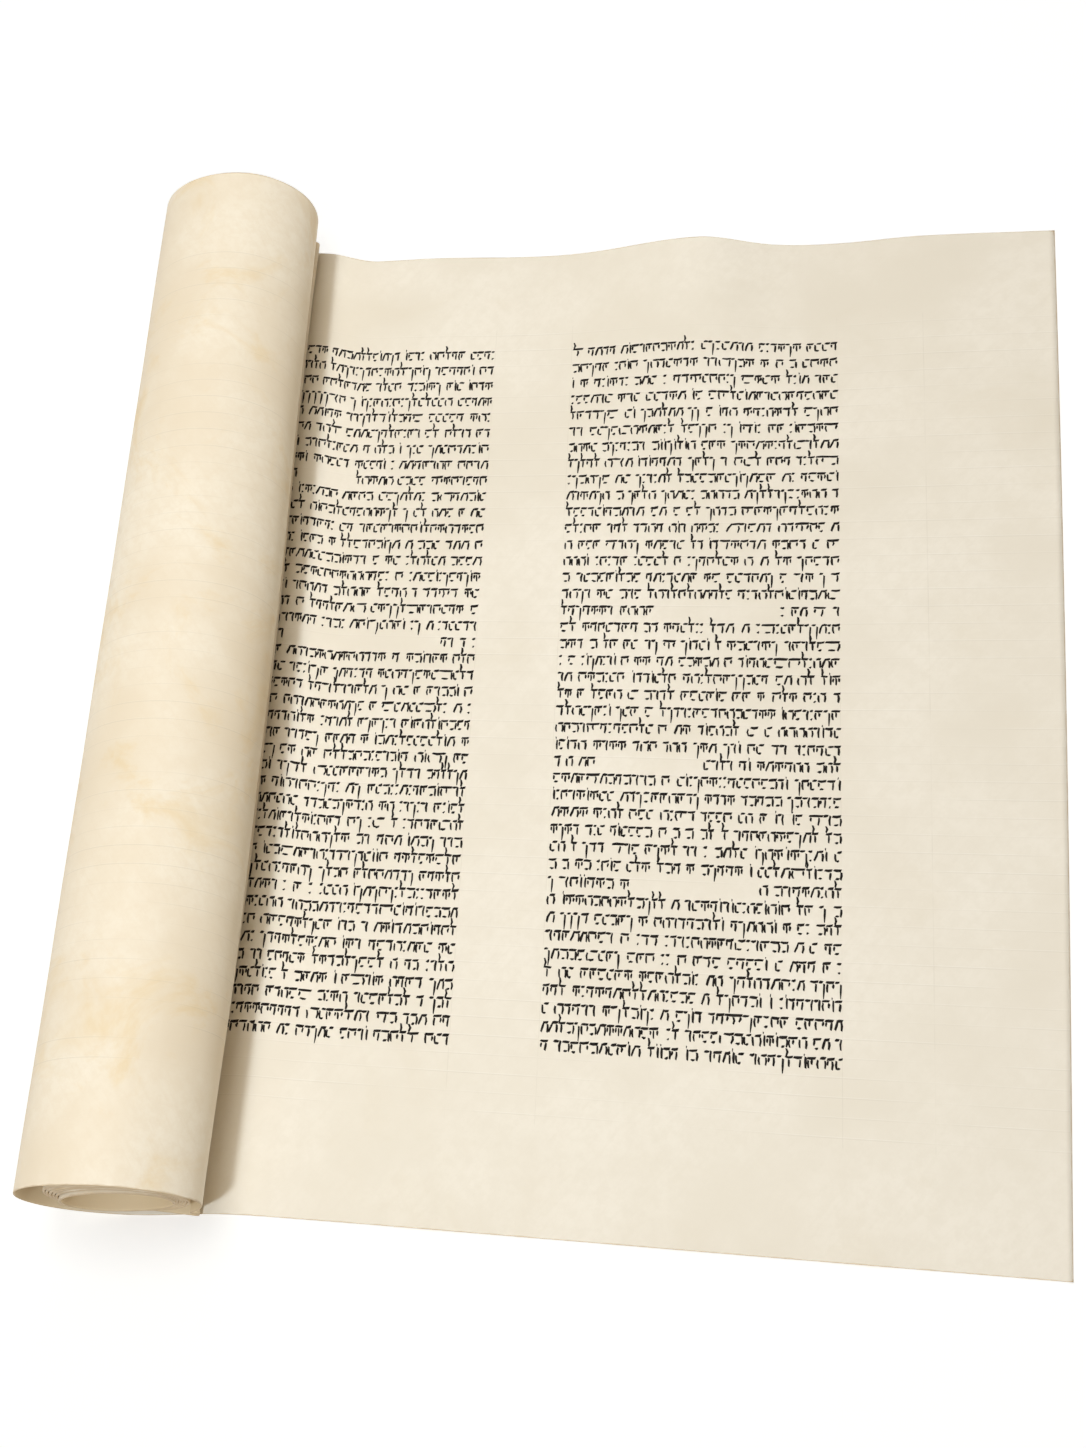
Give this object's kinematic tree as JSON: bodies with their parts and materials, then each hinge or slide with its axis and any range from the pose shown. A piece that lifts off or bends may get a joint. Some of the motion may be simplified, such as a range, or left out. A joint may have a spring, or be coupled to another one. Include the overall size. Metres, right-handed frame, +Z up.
{
  "type": "hand-written parchment scroll",
  "caption": "Parchment scroll lying partly open: a loose hollow roll on one side and an open sheet with columns of writing on the other.",
  "frame": {"origin": "middle of the scroll's footprint, on the surface that it lies on", "axes": "+Z up, +Y along the roll's axis towards its far end, +X out along the open sheet, away from the roll"},
  "size_m": [0.3838, 0.4472, 0.06],
  "materials": {
    "parchment": "matt cream parchment with a soft sheen, yellower stains on the outside and brown cut edges",
    "ink": "warm black writing ink, matt, a little browner where the pen ran thin"
  },
  "bodies": {
    "root": {"parchment": "parchment"}
  },
  "joints": []
}
